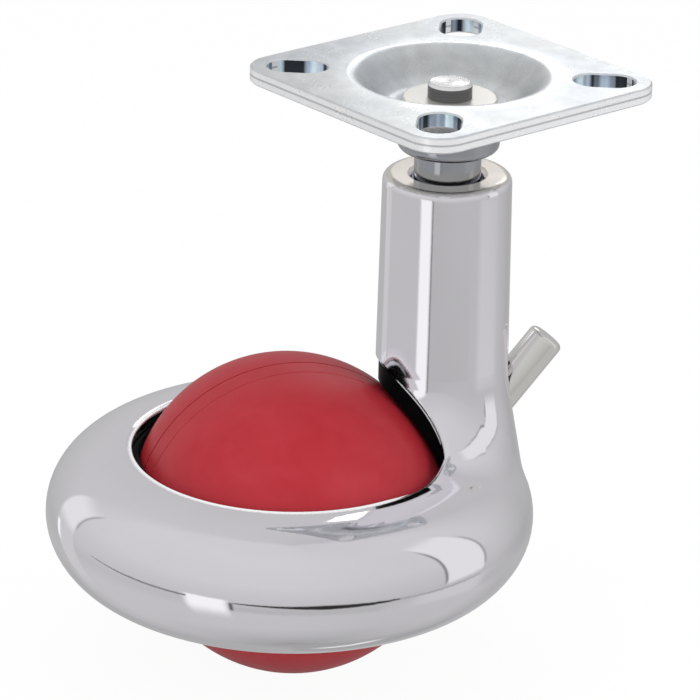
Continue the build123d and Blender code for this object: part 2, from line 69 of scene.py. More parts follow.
def placeCamera(settings):
    heading = Matrix.Rotation(math.radians(settings["heading"]), 4, "Z")
    pitch = math.radians(settings["pitch"])
    roll = math.radians(settings["roll"])
    forward = Vector((0, math.cos(pitch), -math.sin(pitch)))
    sideways = Vector((1, 0, 0))
    upwards = Vector((0, math.sin(pitch), math.cos(pitch)))
    right = sideways * math.cos(roll) + upwards * math.sin(roll)
    up = upwards * math.cos(roll) - sideways * math.sin(roll)
    turn = Matrix((right, up, -forward)).transposed().to_4x4()
    cameraData = bpy.data.cameras.new("productCamera")
    cameraData.lens = settings["lens"]
    cameraData.sensor_width = settings["sensor"]
    cameraData.clip_start = settings["near"]
    cameraData.clip_end = settings["far"]
    camera = bpy.data.objects.new("productCamera", cameraData)
    bpy.context.scene.collection.objects.link(camera)
    spot = Vector((settings["aside"], -settings["distance"], settings["height"]))
    camera.matrix_world = Matrix.Translation(wheelCentre + heading @ spot) @ heading @ turn
    bpy.context.scene.camera = camera


placeCamera(cameraSettings)
print("camera placed")


# Small helpers for building materials
def feed(tree, value, socket):
    if hasattr(value, "links"):
        tree.links.new(value, socket)
    else:
        socket.default_value = value


def addNode(tree, kind, **settings):
    node = tree.nodes.new(kind)
    for key, value in settings.items():
        if key in node.inputs:
            node.inputs[key].default_value = value
        else:
            setattr(node, key, value)
    return node


def mathNode(tree, operation, first, second=None, clamp=False):
    node = addNode(tree, "ShaderNodeMath", operation=operation, use_clamp=clamp)
    feed(tree, first, node.inputs[0])
    if second is not None:
        feed(tree, second, node.inputs[1])
    return node.outputs[0]


def mixColour(tree, factor, first, second):
    node = addNode(tree, "ShaderNodeMix", data_type="RGBA")
    feed(tree, factor, node.inputs[0])
    feed(tree, first, node.inputs[6])
    feed(tree, second, node.inputs[7])
    return node.outputs[2]


def mixValue(tree, factor, first, second):
    node = addNode(tree, "ShaderNodeMix", data_type="FLOAT")
    feed(tree, factor, node.inputs[0])
    feed(tree, first, node.inputs[2])
    feed(tree, second, node.inputs[3])
    return node.outputs[0]


def scaleColour(tree, colour, factor):
    node = addNode(tree, "ShaderNodeVectorMath", operation="SCALE")
    feed(tree, colour, node.inputs[0])
    feed(tree, factor, node.inputs["Scale"])
    return node.outputs[0]


def remap(tree, value, start, end, low=0.0, high=1.0, kind="LINEAR"):
    node = addNode(tree, "ShaderNodeMapRange", interpolation_type=kind)
    for label, number in (("From Min", start), ("From Max", end), ("To Min", low), ("To Max", high)):
        node.inputs[label].default_value = number
    feed(tree, value, node.inputs["Value"])
    return node.outputs[0]


def splitVector(tree, vector):
    node = addNode(tree, "ShaderNodeSeparateXYZ")
    feed(tree, vector, node.inputs[0])
    return node.outputs


def partPlace(tree):
    return addNode(tree, "ShaderNodeTexCoord").outputs["Object"]


def faceNormal(tree):
    return splitVector(tree, addNode(tree, "ShaderNodeNewGeometry").outputs["True Normal"])


def addNoise(tree, vector, scale, **settings):
    noise = addNode(tree, "ShaderNodeTexNoise", **settings)
    feed(tree, vector, noise.inputs["Vector"])
    feed(tree, scale, noise.inputs["Scale"])
    return noise.outputs["Fac"]


def addBump(tree, height, strength, distance):
    bump = addNode(tree, "ShaderNodeBump")
    feed(tree, height, bump.inputs["Height"])
    feed(tree, strength, bump.inputs["Strength"])
    feed(tree, distance, bump.inputs["Distance"])
    return bump


# How far a place lies from the upright axis of the part's own frame
def fromAxis(tree, parts):
    first = mathNode(tree, "POWER", parts[0], 2.0)
    second = mathNode(tree, "POWER", parts[1], 2.0)
    return mathNode(tree, "SQRT", mathNode(tree, "ADD", first, second))


def newGroup(name, inputs, outputs):
    group = bpy.data.node_groups.new(name, "ShaderNodeTree")
    for label, kind, value in inputs:
        socket = group.interface.new_socket(name=label, in_out="INPUT", socket_type=kind)
        if value is not None:
            socket.default_value = value
    for label, kind in outputs:
        group.interface.new_socket(name=label, in_out="OUTPUT", socket_type=kind)
    return group, group.nodes.new("NodeGroupInput").outputs, group.nodes.new("NodeGroupOutput").inputs


def placeGroup(tree, group, **values):
    node = tree.nodes.new("ShaderNodeGroup")
    node.node_tree = group
    for label, value in values.items():
        feed(tree, value, node.inputs[label.replace("_", " ")])
    return node


# A curve through stops of place and brightness; it works on shares, so both are scaled to fit
def brightnessRamp(tree, value, stops, brightest=4.0):
    low = stops[0][0]
    high = stops[-1][0]
    ramp = addNode(tree, "ShaderNodeFloatCurve")
    curve = ramp.mapping.curves[0]
    ramp.mapping.use_clip = False
    points = [((place - low) / (high - low), bright / brightest) for place, bright in stops]
    curve.points[0].location = points[0]
    curve.points[1].location = points[-1]
    for spot in points[1:-1]:
        curve.points.new(*spot)
    for point in curve.points:
        point.handle_type = "VECTOR"
    ramp.mapping.update()
    feed(tree, remap(tree, value, low, high), ramp.inputs["Value"])
    return mathNode(tree, "MULTIPLY", ramp.outputs[0], brightest)


# Surface effects shared by several materials
def makeSoftWaves():
    group, given, made = newGroup(
        "softWaves",
        [
            ("Size", "NodeSocketFloat", 80.0),
            ("Depth", "NodeSocketFloat", 0.1),
            ("Reach", "NodeSocketFloat", 0.001),
            ("Under", "NodeSocketVector", None),
        ],
        [("Normal", "NodeSocketVector")],
    )
    noise = addNoise(group, partPlace(group), given["Size"], Detail=1.0)
    bump = addBump(group, noise, given["Depth"], given["Reach"])
    group.links.new(given["Under"], bump.inputs["Normal"])
    group.links.new(bump.outputs["Normal"], made["Normal"])
    return group


def makeGrain():
    group, given, made = newGroup(
        "fineGrain",
        [
            ("Size", "NodeSocketFloat", 2500.0),
            ("Mean", "NodeSocketFloat", 0.3),
            ("Spread", "NodeSocketFloat", 0.1),
        ],
        [("Roughness", "NodeSocketFloat"), ("Height", "NodeSocketFloat")],
    )
    place = partPlace(group)
    fine = addNoise(group, place, given["Size"], Detail=3.0, Roughness=0.6)
    broadShare = 0.08  # the broad patches are this much coarser
    broad = addNoise(group, place, mathNode(group, "MULTIPLY", given["Size"], broadShare), Detail=2.0)
    centred = mathNode(group, "SUBTRACT", mathNode(group, "ADD", fine, broad), 1.0)
    swing = mathNode(group, "MULTIPLY", centred, given["Spread"])
    group.links.new(mathNode(group, "ADD", given["Mean"], swing, clamp=True), made["Roughness"])
    group.links.new(fine, made["Height"])
    return group


def makeScratches():
    group, given, made = newGroup(
        "fineScratches",
        [
            ("Size", "NodeSocketFloat", 300.0),
            ("Stretch", "NodeSocketVector", (1, 12, 1)),
            ("Amount", "NodeSocketFloat", 0.5),
        ],
        [("Mask", "NodeSocketFloat")],
    )
    stretched = addNode(group, "ShaderNodeVectorMath", operation="MULTIPLY")
    group.links.new(partPlace(group), stretched.inputs[0])
    group.links.new(given["Stretch"], stretched.inputs[1])
    noise = addNoise(group, stretched.outputs[0], given["Size"], Detail=4.0, Roughness=0.7)
    lines = remap(group, noise, 0.56, 0.72)  # only the noise's peaks scratch
    group.links.new(mathNode(group, "MULTIPLY", lines, given["Amount"], clamp=True), made["Mask"])
    return group


def makeTint():
    group, given, made = newGroup(
        "platingTint",
        [
            ("Main", "NodeSocketColor", (0.8, 0.8, 0.8, 1)),
            ("Other", "NodeSocketColor", (0.7, 0.75, 0.85, 1)),
            ("Size", "NodeSocketFloat", 60.0),
            ("Amount", "NodeSocketFloat", 0.5),
        ],
        [("Color", "NodeSocketColor")],
    )
    noise = addNoise(group, partPlace(group), given["Size"], Detail=3.0, Roughness=0.55, Distortion=0.4)
    patches = remap(group, noise, 0.4, 0.7)
    factor = mathNode(group, "MULTIPLY", patches, given["Amount"], clamp=True)
    group.links.new(mixColour(group, factor, given["Main"], given["Other"]), made["Color"])
    return group


# Fine rings round the same axis, on flanks and on end faces alike
def makeTurnedLines():
    group, given, made = newGroup(
        "turnedLines",
        [("Pitch", "NodeSocketFloat", 0.0002)],
        [("Height", "NodeSocketFloat")],
    )
    parts = splitVector(group, partPlace(group))
    way = mathNode(group, "ADD", parts[2], fromAxis(group, parts))
    steps = mathNode(group, "DIVIDE", way, given["Pitch"])
    noise = addNode(group, "ShaderNodeTexNoise", noise_dimensions="1D", Detail=2.0, Roughness=0.7, Scale=1.0)
    group.links.new(steps, noise.inputs["W"])
    group.links.new(noise.outputs["Fac"], made["Height"])
    return group


sheetLook = {
    # dark colour of the punched walls, partly painted shade inside the slots
    "wall": (0.4, 0.48, 0.58, 1),
    "edge": (0.93, 0.935, 0.95, 1),
    "rimFrom": 0.0212,  # metres from the middle, square to the plate's sides
    "dishTo": 0.0175,  # metres from the axis
    "upright": 0.35,  # a face counts as a wall while its normal points up or down less than this
    "smearSize": 220.0,
    "smearTone": (0.88, 1.08),
    "dragSize": 520.0,
    "dragAndReflectionTone": (0.08, 2.0),
    "lineHeight": -0.0012,  # metres, the dark line along the sheared rim
    "lineWidth": (0.00005, 0.00025),
    "lineTone": 0.55,
    # millimetres from the axis and brightness: duller and brighter bands round the dish, painted reflection
    # and shade of its curved walls
    "reflectionBands": [
        (0, 0.35),
        (6.5, 0.35),
        (8.0, 0.85),
        (9.6, 1.1),
        (11.4, 0.78),
        (13.4, 0.8),
        (14.8, 0.93),
        (16.0, 1.2),
        (17.4, 1.15),
        (19, 1.02),
        (20, 1.0),
    ],
}


def makePressedSheet(look):
    group, given, made = newGroup(
        "pressedSheet",
        [
            ("Colour", "NodeSocketColor", (0.8, 0.8, 0.8, 1)),
            ("Wall", "NodeSocketColor", look["wall"]),
            ("Edge", "NodeSocketColor", look["edge"]),
            ("Rim From", "NodeSocketFloat", look["rimFrom"]),
            ("Dish To", "NodeSocketFloat", look["dishTo"]),
        ],
        [("Color", "NodeSocketColor"), ("Edge Mask", "NodeSocketFloat")],
    )
    place = partPlace(group)
    parts = splitVector(group, place)
    across = fromAxis(group, parts)
    # the plate's sides stand at 45 degrees to x and y
    diamond = mathNode(
        group,
        "ADD",
        mathNode(group, "ABSOLUTE", parts[0]),
        mathNode(group, "ABSOLUTE", parts[1]),
    )
    diamond = mathNode(group, "MULTIPLY", diamond, math.sqrt(0.5))
    tilt = mathNode(group, "ABSOLUTE", faceNormal(group)[2])
    upright = mathNode(group, "LESS_THAN", tilt, look["upright"])
    outside = mathNode(group, "GREATER_THAN", diamond, given["Rim From"])
    inside = mathNode(group, "SUBTRACT", 1.0, outside)
    beyond = mathNode(group, "GREATER_THAN", across, given["Dish To"])
    edge = mathNode(group, "MULTIPLY", upright, outside)
    wall = mathNode(group, "MULTIPLY", mathNode(group, "MULTIPLY", upright, beyond), inside)
    # the faces: painted reflection bands and a smeared tone
    reflectionBands = brightnessRamp(group, mathNode(group, "MULTIPLY", across, 1000.0), look["reflectionBands"])
    smear = addNoise(group, place, look["smearSize"], Detail=3.0, Roughness=0.6, Distortion=0.6)
    patchy = remap(group, smear, 0.3, 0.7, *look["smearTone"])
    toned = scaleColour(group, given["Colour"], mathNode(group, "MULTIPLY", reflectionBands, patchy))
    # punched walls show upright drag lines; their dark colour and the strong dark-to-bright swing also paint
    # the shade and reflections inside the slots
    drag = addNoise(group, place, look["dragSize"], noise_dimensions="2D", Detail=1.0)
    dragged = scaleColour(group, given["Wall"], remap(group, drag, 0.4, 0.62, *look["dragAndReflectionTone"]))
    # the sheared rim has a thin dark line along it
    offLine = mathNode(group, "ABSOLUTE", mathNode(group, "SUBTRACT", parts[2], look["lineHeight"]))
    line = remap(group, offLine, *look["lineWidth"], low=look["lineTone"], kind="SMOOTHSTEP")
    rim = scaleColour(group, given["Edge"], line)
    colour = mixColour(group, wall, toned, dragged)
    group.links.new(mixColour(group, edge, colour, rim), made["Color"])
    group.links.new(edge, made["Edge Mask"])
    return group


softWaves = makeSoftWaves()
pressedSheet = makePressedSheet(sheetLook)
fineGrain = makeGrain()
fineScratches = makeScratches()
platingTint = makeTint()
turnedLines = makeTurnedLines()
print("shared effects ready")


# Materials
def startMaterial(name, **values):
    material = bpy.data.materials.new(name)
    material.use_nodes = True
    tree = material.node_tree
    shader = tree.nodes["Principled BSDF"]
    for label, value in values.items():
        shader.inputs[label.replace("_", " ")].default_value = value
    return material, tree, shader


chromeLook = {
    "colour": (0.92, 0.90, 0.945, 1),
    "shade": (0.87, 0.86, 0.89, 1),
    "shadeSize": 45.0,
    "shadeAmount": 0.35,
    "roughness": 0.045,
    "spread": 0.02,
    "grainSize": 900.0,
    "waveDepth": 0.012,
    "waveSize": 120.0,
    "waveReach": 0.002,
    "edge": 0.0004,  # metres by which sharp edges look rounded
    "turned": (0.84, 0.79, 0.735, 1),
    "turnedRoughness": 0.16,
    "turnedFrom": -0.0169,  # metres, the stem's top face lies above this
    "turnedFade": 0.0003,
}


def makeChrome(look):
    material, tree, shader = startMaterial("brightChrome", Metallic=1.0)
    grain = placeGroup(tree, fineGrain, Size=look["grainSize"], Mean=look["roughness"], Spread=look["spread"])
    tint = placeGroup(
        tree,
        platingTint,
        Main=look["colour"],
        Other=look["shade"],
        Size=look["shadeSize"],
        Amount=look["shadeAmount"],
    )
    rounded = addNode(tree, "ShaderNodeBevel", samples=4, Radius=look["edge"])
    wave = placeGroup(
        tree,
        softWaves,
        Size=look["waveSize"],
        Depth=look["waveDepth"],
        Reach=look["waveReach"],
        Under=rounded.outputs[0],
    )
    height = splitVector(tree, partPlace(tree))[2]
    top = remap(tree, height, look["turnedFrom"], look["turnedFrom"] + look["turnedFade"])
    rough = mixValue(tree, top, grain.outputs["Roughness"], look["turnedRoughness"])
    tree.links.new(rough, shader.inputs["Roughness"])
    tree.links.new(mixColour(tree, top, tint.outputs["Color"], look["turned"]), shader.inputs["Base Color"])
    tree.links.new(wave.outputs["Normal"], shader.inputs["Normal"])
    return material


# Plain metals share these values unless a look of their own says otherwise
metalLook = {
    "metal": 1.0,
    "grainSize": 1600.0,
    "tintSize": 70.0,
    "tintAmount": 0.45,
    "scratches": 0.2,
    "scratchSize": 260.0,
    "scratchStretch": (3.0, 14.0, 1.0),
    "reach": 0.0003,  # metres
}
plateLook = metalLook | {
    "colour": (0.745, 0.765, 0.775, 1),
    "tint": (0.62, 0.68, 0.77, 1),
    "metal": 0.8,
    "roughness": 0.3,
    "spread": 0.14,
    "grain": 0.10,
    "rimMetal": -0.2,  # what the sheared rim's metal share differs by
}
washerLook = metalLook | {
    "colour": (0.84, 0.82, 0.78, 1),
    "tint": (0.82, 0.81, 0.79, 1),
    "metal": 0.8,
    "roughness": 0.38,
    "spread": 0.12,
    "grain": 0.06,
}
# the darkened colour paints the dark reflections on the cup and the collar
darkenedCupLook = metalLook | {
    "colour": (0.46, 0.475, 0.50, 1),
    "tint": (0.37, 0.40, 0.45, 1),
    "roughness": 0.12,
    "spread": 0.1,
    "grain": 0.05,
}
bronzeLook = metalLook | {
    "colour": (0.50, 0.33, 0.15, 1),
    "tint": (0.42, 0.27, 0.12, 1),
    "roughness": 0.4,
    "spread": 0.15,
    "grain": 0.2,
}
blackSteelLook = metalLook | {
    "colour": (0.05, 0.05, 0.055, 1),
    "tint": (0.09, 0.09, 0.095, 1),
    "roughness": 0.35,
    "spread": 0.12,
    "grain": 0.1,
}
leverLook = metalLook | {
    "colour": (0.86, 0.84, 0.81, 1),
    "tint": (0.80, 0.79, 0.77, 1),
    "roughness": 0.14,
    "spread": 0.08,
    "grain": 0.04,
}


def makeMetal(name, look):
    material, tree, shader = startMaterial(name, Metallic=look["metal"])
    grain = placeGroup(tree, fineGrain, Size=look["grainSize"], Mean=look["roughness"], Spread=look["spread"])
    tint = placeGroup(
        tree,
        platingTint,
        Main=look["colour"],
        Other=look["tint"],
        Size=look["tintSize"],
        Amount=look["tintAmount"],
    )
    scratches = placeGroup(
        tree,
        fineScratches,
        Size=look["scratchSize"],
        Stretch=look["scratchStretch"],
        Amount=look["scratches"],
    )
    height = mathNode(tree, "SUBTRACT", grain.outputs["Height"], scratches.outputs["Mask"])
    bump = addBump(tree, height, look["grain"], look["reach"])
    colour = tint.outputs["Color"]
    if "rimMetal" in look:
        sheet = placeGroup(tree, pressedSheet, Colour=colour)
        colour = sheet.outputs["Color"]
        change = mathNode(tree, "MULTIPLY", sheet.outputs["Edge Mask"], look["rimMetal"])
        tree.links.new(mathNode(tree, "ADD", change, look["metal"]), shader.inputs["Metallic"])
    tree.links.new(colour, shader.inputs["Base Color"])
    tree.links.new(grain.outputs["Roughness"], shader.inputs["Roughness"])
    tree.links.new(bump.outputs["Normal"], shader.inputs["Normal"])
    return material


turnedLook = {
    "spread": 0.1,
    "grainSize": 2200.0,
    "tone": (0.85, 1.15),
    "paintedFlankShade": 1.0,  # painted shade: brightness of upright faces
    "face": 1.3,  # painted highlight: brightness of faces that look up
    "reach": 0.0002,  # metres
}
pinLook = turnedLook | {
    "colour": (0.98, 0.98, 0.99, 1),
    "roughness": 0.2,
    "pitch": 0.00022,
    "depth": 0.5,
    "paintedFlankShade": 0.18,
}
groundLook = turnedLook | {
    "colour": (0.62, 0.63, 0.64, 1),
    "roughness": 0.18,
    "pitch": 0.0003,
    "depth": 0.1,
}


def makeTurned(name, look):
    material, tree, shader = startMaterial(name, Metallic=1.0)
    lines = placeGroup(tree, turnedLines, Pitch=look["pitch"])
    grain = placeGroup(tree, fineGrain, Size=look["grainSize"], Mean=look["roughness"], Spread=look["spread"])
    bump = addBump(tree, lines.outputs["Height"], look["depth"], look["reach"])
    shade = remap(tree, lines.outputs["Height"], 0.0, 1.0, *look["tone"])
    # faces that look up are painted brighter and upright faces darker: painted highlight and shade
    ends = remap(tree, faceNormal(tree)[2], 0.2, 0.8, look["paintedFlankShade"], look["face"])
    colour = scaleColour(tree, look["colour"][:3], mathNode(tree, "MULTIPLY", shade, ends))
    tree.links.new(colour, shader.inputs["Base Color"])
    tree.links.new(grain.outputs["Roughness"], shader.inputs["Roughness"])
    tree.links.new(bump.outputs["Normal"], shader.inputs["Normal"])
    return material


mouldedLook = {
    "metal": 0.0,
    "specular": 0.5,
    "grainSize": 1300.0,
    "paleSize": 180.0,
    "paleAmount": 0.8,
    "reach": 0.0003,  # metres
}
ballLook = mouldedLook | {
    "colour": (0.385, 0.021, 0.030, 1),
    "pale": (0.415, 0.028, 0.040, 1),
    "roughness": 0.42,
    "spread": 0.06,
    "mottle": 0.05,
    "specular": 0.22,
}
linerLook = mouldedLook | {
    "colour": (0.002, 0.002, 0.002, 1),
    "pale": (0.004, 0.004, 0.004, 1),
    "roughness": 0.4,
    "spread": 0.05,
    "mottle": 0.03,
    "specular": 0.03,
}
nylonLook = mouldedLook | {
    "colour": (0.62, 0.61, 0.57, 1),
    "pale": (0.68, 0.67, 0.64, 1),
    "roughness": 0.5,
    "spread": 0.08,
    "mottle": 0.05,
}
darkLook = mouldedLook | {
    "colour": (0.03, 0.03, 0.033, 1),
    "pale": (0.045, 0.045, 0.05, 1),
    "roughness": 0.5,
    "spread": 0.1,
    "mottle": 0.08,
}
rubberLook = mouldedLook | {
    "colour": (0.015, 0.015, 0.015, 1),
    "pale": (0.025, 0.025, 0.025, 1),
    "roughness": 0.75,
    "spread": 0.1,
    "mottle": 0.2,
}
# near-white and mostly matt: a painted glint along the lip
lipGlintLook = mouldedLook | {
    "colour": (0.97, 0.97, 0.98, 1),
    "pale": (0.93, 0.93, 0.95, 1),
    "metal": 0.35,
    "roughness": 0.25,
    "spread": 0.05,
    "mottle": 0.02,
}


def makeMoulded(name, look):
    material, tree, shader = startMaterial(name, Metallic=look["metal"], Specular_IOR_Level=look["specular"])
    grain = placeGroup(tree, fineGrain, Size=look["grainSize"], Mean=look["roughness"], Spread=look["spread"])
    tint = placeGroup(
        tree,
        platingTint,
        Main=look["colour"],
        Other=look["pale"],
        Size=look["paleSize"],
        Amount=look["paleAmount"],
    )
    bump = addBump(tree, grain.outputs["Height"], look["mottle"], look["reach"])
    tree.links.new(grain.outputs["Roughness"], shader.inputs["Roughness"])
    tree.links.new(tint.outputs["Color"], shader.inputs["Base Color"])
    tree.links.new(bump.outputs["Normal"], shader.inputs["Normal"])
    return material


cupZinc = makeMetal("cupZinc", darkenedCupLook)
bronze = makeMetal("sinteredBronze", bronzeLook)
blackSteel = makeMetal("blackSteel", blackSteelLook)
groundSteel = makeTurned("groundSteel", groundLook)
ballRed = makeMoulded("satinRed", ballLook)
paleNylon = makeMoulded("paleNylon", nylonLook)

finishes = {
    "mounting_plate": makeMetal("plateZinc", plateLook),
    "pin_washer": makeMetal("washerZinc", washerLook),
    "swivel_pin": makeTurned("turnedPin", pinLook),
    "pin_clip": blackSteel,
    "upper_race": groundSteel,
    "bearing_cup": cupZinc,
    "bearing_balls": groundSteel,
    "swivel_collar": cupZinc,
    "lower_bush": bronze,
    "housing": makeChrome(chromeLook),
    "liner": makeMoulded("glossBlack", linerLook),
    "liner_screws": blackSteel,
    "axle": groundSteel,
    "axle_keepers": makeMoulded("darkPlastic", darkLook),
    "lever_pin": groundSteel,
    "wheel_core": paleNylon,
    "tread_band": ballRed,
    "near_dome": ballRed,
    "far_dome": ballRed,
    "hub_bushes": bronze,
    "thrust_washers": paleNylon,
    "brake_lever": makeMetal("leverNickel", leverLook),
    "brake_pad": makeMoulded("padRubber", rubberLook),
}
for nodeName, material in finishes.items():
    node = cadNodes[nodeName]
    if not node.material_slots:
        node.data.materials.append(material)
    for materialSlot in node.material_slots:
        materialSlot.material = material
print("materials assigned")


# Helpers for the pieces that are modelled here
def makeObject(name, corners, faces, material):
    mesh = bpy.data.meshes.new(name)
    mesh.from_pydata(corners, [], faces)
    mesh.materials.append(material)
    piece = bpy.data.objects.new(name, mesh)
    bpy.context.scene.collection.objects.link(piece)
    return piece


# Faces of a tube whose rings of corners follow each other, the first corner at the number start
def tubeFaces(rings, sides, start=0, closed=False):
    faces = []
    for ring in range(rings if closed else rings - 1):
        here = start + ring * sides
        there = start + (ring + 1) % rings * sides
        for side in range(sides):
            after = (side + 1) % sides
            faces.append((here + side, there + side, there + after, here + after))
    return faces


# A near-white bead along the opening's lip, up to where the lip climbs to the arch; its pale colour paints
# the glint along the lip's edge
lipBead = {
    "reach": 0.02562,  # metres from the ball's upright axis
    "height": -0.06107,
    "thickness": 0.0003,
    "from": 78,  # degrees in the part's frame
    "to": 322,
    "taper": 10,
    "tip": 0.05,  # share of the thickness left at the ends
    "steps": 180,
    "sides": 10,
}


def makeBead(bead, material):
    steps = bead["steps"]
    sides = bead["sides"]
    corners = []
    for step in range(steps + 1):
        angle = bead["from"] + (bead["to"] - bead["from"]) * step / steps
        ends = min(angle - bead["from"], bead["to"] - angle) / bead["taper"]
        thick = bead["thickness"] * max(bead["tip"], min(1.0, ends))
        turn = math.radians(angle)
        for side in range(sides):
            roll = 2 * math.pi * side / sides
            reach = bead["reach"] + thick * math.cos(roll)
            x = wheelCentre.x + reach * math.cos(turn)
            y = wheelCentre.y + reach * math.sin(turn)
            corners.append((x, y, bead["height"] + thick * math.sin(roll)))
    faces = tubeFaces(steps + 1, sides)
    faces.append(tuple(range(sides)))
    faces.append(tuple(steps * sides + side for side in reversed(range(sides))))
    piece = makeObject("lipBead", corners, faces, material)
    piece.data.shade_smooth()
    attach(piece, "housing")


makeBead(lipBead, makeMoulded("paintedLipGlint", lipGlintLook))
print("lip bead made")


# Moulding flash that nearly fills the grooves beside the ball's middle band
seamFill = {
    "reach": 0.0248,  # metres from the axle
    "aside": 0.00204,  # metres from the ball's middle, on both sides
    "thickness": 0.00015,
    "steps": 180,
    "sides": 8,
}


def makeSeamFill(fill, material):
    across = Vector((-math.sin(swivelTurn), math.cos(swivelTurn), 0))
    ahead = Vector((math.cos(swivelTurn), math.sin(swivelTurn), 0))
    steps = fill["steps"]
    sides = fill["sides"]
    corners = []
    faces = []
    for hand in (-1, 1):
        faces += tubeFaces(steps, sides, start=len(corners), closed=True)
        for step in range(steps):
            turn = 2 * math.pi * step / steps
            outward = ahead * math.cos(turn) + Vector((0, 0, math.sin(turn)))
            for side in range(sides):
                roll = 2 * math.pi * side / sides
                reach = fill["reach"] + fill["thickness"] * math.cos(roll)
                aside = hand * fill["aside"] + fill["thickness"] * math.sin(roll)
                corners.append(wheelCentre + outward * reach + across * aside)
    piece = makeObject("seamFill", corners, faces, material)
    piece.data.shade_smooth()
    piece.visible_glossy = False
    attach(piece, "wheel")


makeSeamFill(seamFill, ballRed)
print("seam fill made")


# Floor
floorLook = {
    "size": 3.0,
    "colour": (0.9, 0.9, 0.9, 1),
    "roughness": 0.9,
    "glow": 0.95,  # how much of the plain white shows where the floor is seen directly
}


def makeFloor(look):
    material, tree, shader = startMaterial("paleFloor", Roughness=look["roughness"])
    shader.inputs["Base Color"].default_value = look["colour"]
    path = addNode(tree, "ShaderNodeLightPath")
    glow = addNode(tree, "ShaderNodeEmission", Strength=1.0)
    mix = addNode(tree, "ShaderNodeMixShader")
    seen = mathNode(tree, "MAXIMUM", path.outputs["Is Camera Ray"], path.outputs["Is Glossy Ray"])
    seen = mathNode(tree, "MAXIMUM", seen, path.outputs["Is Transmission Ray"])
    tree.links.new(mathNode(tree, "MULTIPLY", seen, look["glow"]), mix.inputs[0])
    tree.links.new(shader.outputs[0], mix.inputs[1])
    tree.links.new(glow.outputs[0], mix.inputs[2])
    tree.links.new(mix.outputs[0], tree.nodes["Material Output"].inputs["Surface"])
    low = cadBox[0].z
    half = look["size"] / 2
    corners = [(-half, -half, low), (half, -half, low), (half, half, low), (-half, half, low)]
    floor = makeObject("floor", corners, [(0, 1, 2, 3)], material)
    floor.visible_glossy = False


makeFloor(floorLook)


# What shiny metal mirrors: degrees around from the camera (right is plus) and above the horizon
mirrorRoom = {
    "heading": cameraSettings["heading"],
    "gain": 1.36,
    "lean": 0.055,  # how much the room's level lines drop to the right, degrees per degree
    "ambient": 0.8,  # what everything that isn't shiny gets
    "aroundStops": [
        (-180, 0.86),
        (-135, 0.90),
        (-110, 1.0),
        (0, 1.0),
        (60, 0.95),
        (110, 0.96),
        (140, 0.80),
        (180, 0.86),
    ],
    "heightStops": [
        (-90, 0.36),
        (-72, 0.46),
        (-55, 0.52),
        (-30, 0.53),
        (-17, 0.49),
        (-8, 0.53),
        (5, 0.56),
        (20, 0.60),
        (60, 0.62),
        (90, 0.60),
    ],
}
# around and height give each panel's edges, soft its blur around, at the low edge and at the high edge
mirrorPanels = {
    "low stand": {"around": (-24, 46), "height": (-27, -18), "soft": (3, 4, 3), "level": 0.45},
    "right low wall": {"around": (104, 150), "height": (-26, -17), "soft": (3, 3, 3), "level": 0.45},
    "right box foot": {"around": (62, 103), "height": (-28, -14), "soft": (8, 4, 3), "level": 0.57},
    "left box foot": {"around": (-132, -115), "height": (-44, -12), "soft": (1.2, 9, 5), "level": 0.57},
    "left box": {"around": (-132, -115), "height": (-10, 20), "soft": (1.2, 6, 8), "level": 0.74},
    "left thin lamp": {"around": (-132.5, -129.5), "height": (-26, -16), "soft": (0.8, 2, 1), "level": 0.95},
    "left box edge": {"around": (-114.4, -113.2), "height": (-4, 24), "soft": (0.5, 3, 3), "level": 0.34},
    "right box": {"around": (77, 100), "height": (-9, 54), "soft": (0.8, 3, 6), "level": 0.73},
    "right box near edge": {"around": (75.4, 77.0), "height": (-8, 44), "soft": (0.5, 3, 9), "level": 0.22},
    "right box far edge": {"around": (100.2, 101.6), "height": (-4, 40), "soft": (0.5, 3, 7), "level": 0.34},
    "strip lamp": {"around": (-46.5, -27), "height": (-33, -9.5), "soft": (2.2, 12, 1.2), "level": 0.9},
    "strip lamp edge": {"around": (-25.8, -24.0), "height": (-26, -13), "soft": (0.6, 2, 1), "level": 0.10},
    "back low left": {"around": (-180, -142), "height": (-76, -40), "soft": (6, 5, 6), "level": 0.40},
    "back low right": {"around": (142, 180), "height": (-76, -40), "soft": (6, 5, 6), "level": 0.36},
    "back low line": {"around": (146, 170), "height": (-59.5, -55.5), "soft": (5, 1, 1), "level": 0.85},
}


# One between two soft edges, nothing beyond them
def softBand(tree, value, edges, softLow, softHigh):
    low, high = edges
    rise = remap(tree, value, low - softLow, low + softLow, 0.0, 1.0, "SMOOTHSTEP")
    fall = remap(tree, value, high - softHigh, high + softHigh, 1.0, 0.0, "SMOOTHSTEP")
    return mathNode(tree, "MULTIPLY", rise, fall)


def paintPanel(tree, level, around, height, panel):
    softAround, softLow, softHigh = panel["soft"]
    inside = softBand(tree, around, panel["around"], softAround, softAround)
    between = softBand(tree, height, panel["height"], softLow, softHigh)
    return mixValue(tree, mathNode(tree, "MULTIPLY", inside, between), level, panel["level"])


